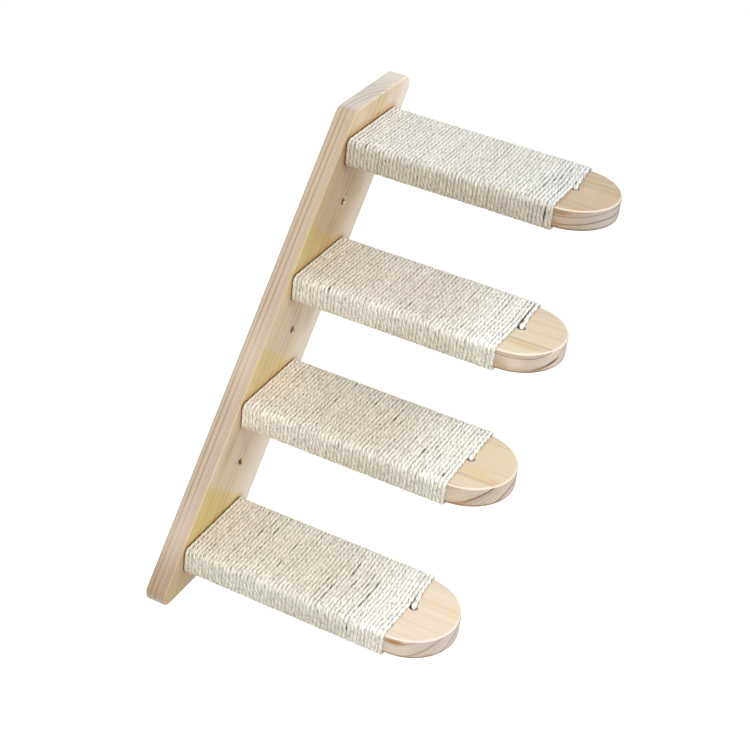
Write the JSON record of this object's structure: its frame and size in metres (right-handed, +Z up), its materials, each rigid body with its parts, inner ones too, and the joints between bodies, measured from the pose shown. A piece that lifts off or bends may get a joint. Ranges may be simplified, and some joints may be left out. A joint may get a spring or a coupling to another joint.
{
  "type": "cat wall step",
  "caption": "Wall-hung cat stair: level wooden steps with half-round bare tips, wound with sisal rope, standing out of a leaning back board with countersunk wall holes.",
  "frame": {"origin": "axis of the middle wall hole, at the wall plane on the board's back face", "axes": "+Z up, +X along the wall towards the side that the board leans to, -Y out of the wall along the steps"},
  "size_m": [0.3686, 0.241, 0.3425],
  "materials": {
    "pine_board": "planed and clear sealed, satin",
    "pine_step": "planed and clear sealed, satin",
    "sisal": "bleached twisted sisal rope, matt",
    "zinc_steel": "zinc plated",
    "beech": "plain"
  },
  "bodies": {
    "root": {"backboard": "pine_board", "step_board_1": "pine_step", "step_board_2": "pine_step", "step_board_3": "pine_step", "step_board_4": "pine_step", "sisal_winding_1": "sisal", "sisal_winding_2": "sisal", "sisal_winding_3": "sisal", "sisal_winding_4": "sisal", "step_screws": "zinc_steel", "step_dowels": "beech"}
  },
  "joints": []
}
